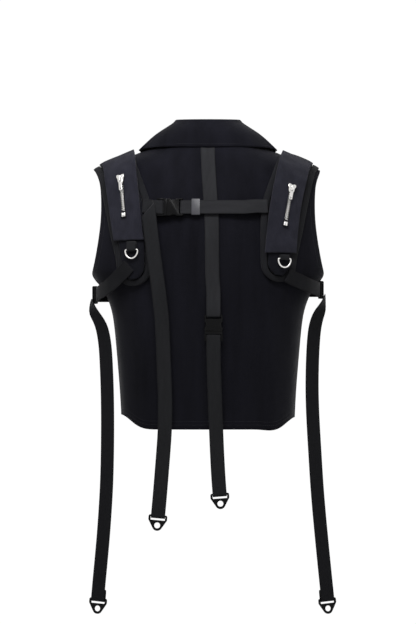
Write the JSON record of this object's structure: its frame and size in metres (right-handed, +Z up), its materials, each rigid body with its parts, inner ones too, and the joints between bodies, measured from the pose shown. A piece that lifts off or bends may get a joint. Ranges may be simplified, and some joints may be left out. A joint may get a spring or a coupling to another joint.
{
  "type": "harness vest",
  "caption": "Cropped sleeveless vest with a turned-down collar, padded shoulder straps with zipped pockets and a webbing harness with side-release buckles and free tails.",
  "frame": {"origin": "between the neck points of the shoulders, at the height where the wearer's neck meets the shoulder seams", "axes": "+X towards the wearer's right, +Y towards the wearer's front, +Z up"},
  "size_m": [0.4359, 0.2307, 0.8716],
  "materials": {
    "cloth": "fine matt twill, near-black navy",
    "lining_cloth": "smooth lining",
    "pocket_cloth": "matt navy twill, lighter than the vest",
    "webbing": "ribbed dark grey webbing",
    "plastic": "gloss black",
    "nickel": "bright nickel"
  },
  "bodies": {
    "vest": {"back_lining": "lining_cloth", "back_panel": "cloth", "centre_plug": "plastic", "centre_socket": "plastic", "centre_strap": "webbing", "centre_tail": "webbing", "collar": "cloth", "cross_anchor_web": "webbing", "cross_plug": "plastic", "cross_socket": "plastic", "cross_strap": "webbing", "cross_tail": "webbing", "front_button_1": "plastic", "front_button_2": "plastic", "front_lining_left": "lining_cloth", "front_lining_right": "lining_cloth", "front_panel_left": "cloth", "front_panel_right": "cloth", "lapel_left": "cloth", "lapel_right": "cloth", "pad_binding_left": "webbing", "pad_binding_right": "webbing", "pocket_left": "pocket_cloth", "pocket_right": "pocket_cloth", "ring_tab_left": "webbing", "ring_tab_right": "webbing", "shoulder_pad_left": "cloth", "shoulder_pad_right": "cloth", "side_front_web_left": "webbing", "side_front_web_right": "webbing", "side_left_plug": "plastic", "side_left_socket": "plastic", "side_left_tail": "webbing", "side_right_plug": "plastic", "side_right_socket": "plastic", "side_right_tail": "webbing", "side_web_left": "webbing", "side_web_right": "webbing", "zip_chain_left": "nickel", "zip_chain_right": "nickel"},
    "zip_slider_left": {"zip_slider_left": "nickel"},
    "zip_pull_left": {"zip_pull_left": "nickel"},
    "d_ring_left": {"d_ring_left": "nickel"},
    "zip_slider_right": {"zip_slider_right": "nickel"},
    "zip_pull_right": {"zip_pull_right": "nickel"},
    "d_ring_right": {"d_ring_right": "nickel"},
    "cross_keeper": {"cross_keeper": "plastic"},
    "centre_end_ring": {"centre_end_ring": "plastic"},
    "cross_end_ring": {"cross_end_ring": "plastic"},
    "side_left_end_ring": {"side_left_end_ring": "plastic"},
    "side_right_end_ring": {"side_right_end_ring": "plastic"},
    "centre_prong_left": {"centre_prong_left": "plastic"},
    "centre_prong_right": {"centre_prong_right": "plastic"},
    "cross_prong_lower": {"cross_prong_lower": "plastic"},
    "cross_prong_upper": {"cross_prong_upper": "plastic"},
    "side_left_prong_lower": {"side_left_prong_lower": "plastic"},
    "side_left_prong_upper": {"side_left_prong_upper": "plastic"},
    "side_right_prong_lower": {"side_right_prong_lower": "plastic"},
    "side_right_prong_upper": {"side_right_prong_upper": "plastic"}
  },
  "joints": [
    {"name": "zip_left_slide", "type": "slide", "parent": "vest", "child": "zip_slider_left", "axis": [0.0808, -0.3038, -0.9493], "range_m": [0, 0.046]},
    {"name": "zip_pull_left_swing", "type": "hinge", "parent": "zip_slider_left", "child": "zip_pull_left", "pos_m": [-0.15467, -0.08113, -0.05259], "axis": [-0.9233, 0.336, -0.1861], "range_deg": [0, 170]},
    {"name": "d_ring_left_swing", "type": "hinge", "parent": "vest", "child": "d_ring_left", "pos_m": [-0.134, -0.11221, -0.17753], "axis": [-0.9424, 0.3315, -0.0439], "range_deg": [0, 150]},
    {"name": "zip_right_slide", "type": "slide", "parent": "vest", "child": "zip_slider_right", "axis": [-0.1627, -0.3183, -0.9339], "range_m": [0, 0.046]},
    {"name": "zip_pull_right_swing", "type": "hinge", "parent": "zip_slider_right", "child": "zip_pull_right", "pos_m": [0.14784, -0.08899, -0.06938], "axis": [-0.9226, -0.2864, 0.2583], "range_deg": [0, 170]},
    {"name": "d_ring_right_swing", "type": "hinge", "parent": "vest", "child": "d_ring_right", "pos_m": [0.134, -0.11382, -0.1933], "axis": [-0.9463, -0.3226, 0.0205], "range_deg": [0, 150]},
    {"name": "cross_keeper_slide", "type": "slide", "parent": "vest", "child": "cross_keeper", "axis": [1, 0, 0], "range_m": [-0.006, 0.062]},
    {"name": "centre_end_ring_swing", "type": "hinge", "parent": "vest", "child": "centre_end_ring", "pos_m": [0.0204, -0.1084, -0.606], "axis": [0.9969, 0, 0.0789], "range_deg": [-80, 80]},
    {"name": "cross_end_ring_swing", "type": "hinge", "parent": "vest", "child": "cross_end_ring", "pos_m": [-0.0875, -0.1084, -0.644], "axis": [0.9959, 0, -0.0905], "range_deg": [-80, 80]},
    {"name": "side_left_end_ring_swing", "type": "hinge", "parent": "vest", "child": "side_left_end_ring", "pos_m": [-0.19338, -0.02461, -0.793], "axis": [0.9373, -0.339, -0.0802], "range_deg": [-80, 80]},
    {"name": "side_right_end_ring_swing", "type": "hinge", "parent": "vest", "child": "side_right_end_ring", "pos_m": [0.20978, -0.02461, -0.793], "axis": [0.9359, 0.3385, 0.0969], "range_deg": [-80, 80]},
    {"name": "centre_prong_left_press", "type": "hinge", "parent": "vest", "child": "centre_prong_left", "pos_m": [0.00012, -0.11716, -0.31966], "axis": [-0.0038, 0.9996, 0.0291], "range_deg": [0, 11], "stiffness_Nm_per_rad": 0.5},
    {"name": "centre_prong_right_press", "type": "hinge", "parent": "vest", "child": "centre_prong_right", "pos_m": [0.01912, -0.11708, -0.31966], "axis": [0.0038, -0.9996, -0.0291], "range_deg": [0, 11], "stiffness_Nm_per_rad": 0.5},
    {"name": "cross_prong_lower_press", "type": "hinge", "parent": "vest", "child": "cross_prong_lower", "pos_m": [-0.0716, -0.10988, -0.1132], "axis": [0, -0.9681, 0.2504], "range_deg": [0, 11], "stiffness_Nm_per_rad": 0.5},
    {"name": "cross_prong_upper_press", "type": "hinge", "parent": "vest", "child": "cross_prong_upper", "pos_m": [-0.0716, -0.10512, -0.0948], "axis": [0, 0.9681, -0.2504], "range_deg": [0, 11], "stiffness_Nm_per_rad": 0.5},
    {"name": "side_left_prong_lower_press", "type": "hinge", "parent": "vest", "child": "side_left_prong_lower", "pos_m": [-0.1995, -0.0051, -0.2665], "axis": [1, 0, 0], "range_deg": [0, 11], "stiffness_Nm_per_rad": 0.5},
    {"name": "side_left_prong_upper_press", "type": "hinge", "parent": "vest", "child": "side_left_prong_upper", "pos_m": [-0.1995, -0.0051, -0.2475], "axis": [-1, 0, 0], "range_deg": [0, 11], "stiffness_Nm_per_rad": 0.5},
    {"name": "side_right_prong_lower_press", "type": "hinge", "parent": "vest", "child": "side_right_prong_lower", "pos_m": [0.1995, -0.0051, -0.2575], "axis": [1, 0, 0], "range_deg": [0, 11], "stiffness_Nm_per_rad": 0.5},
    {"name": "side_right_prong_upper_press", "type": "hinge", "parent": "vest", "child": "side_right_prong_upper", "pos_m": [0.1995, -0.0051, -0.2385], "axis": [-1, 0, 0], "range_deg": [0, 11], "stiffness_Nm_per_rad": 0.5}
  ]
}
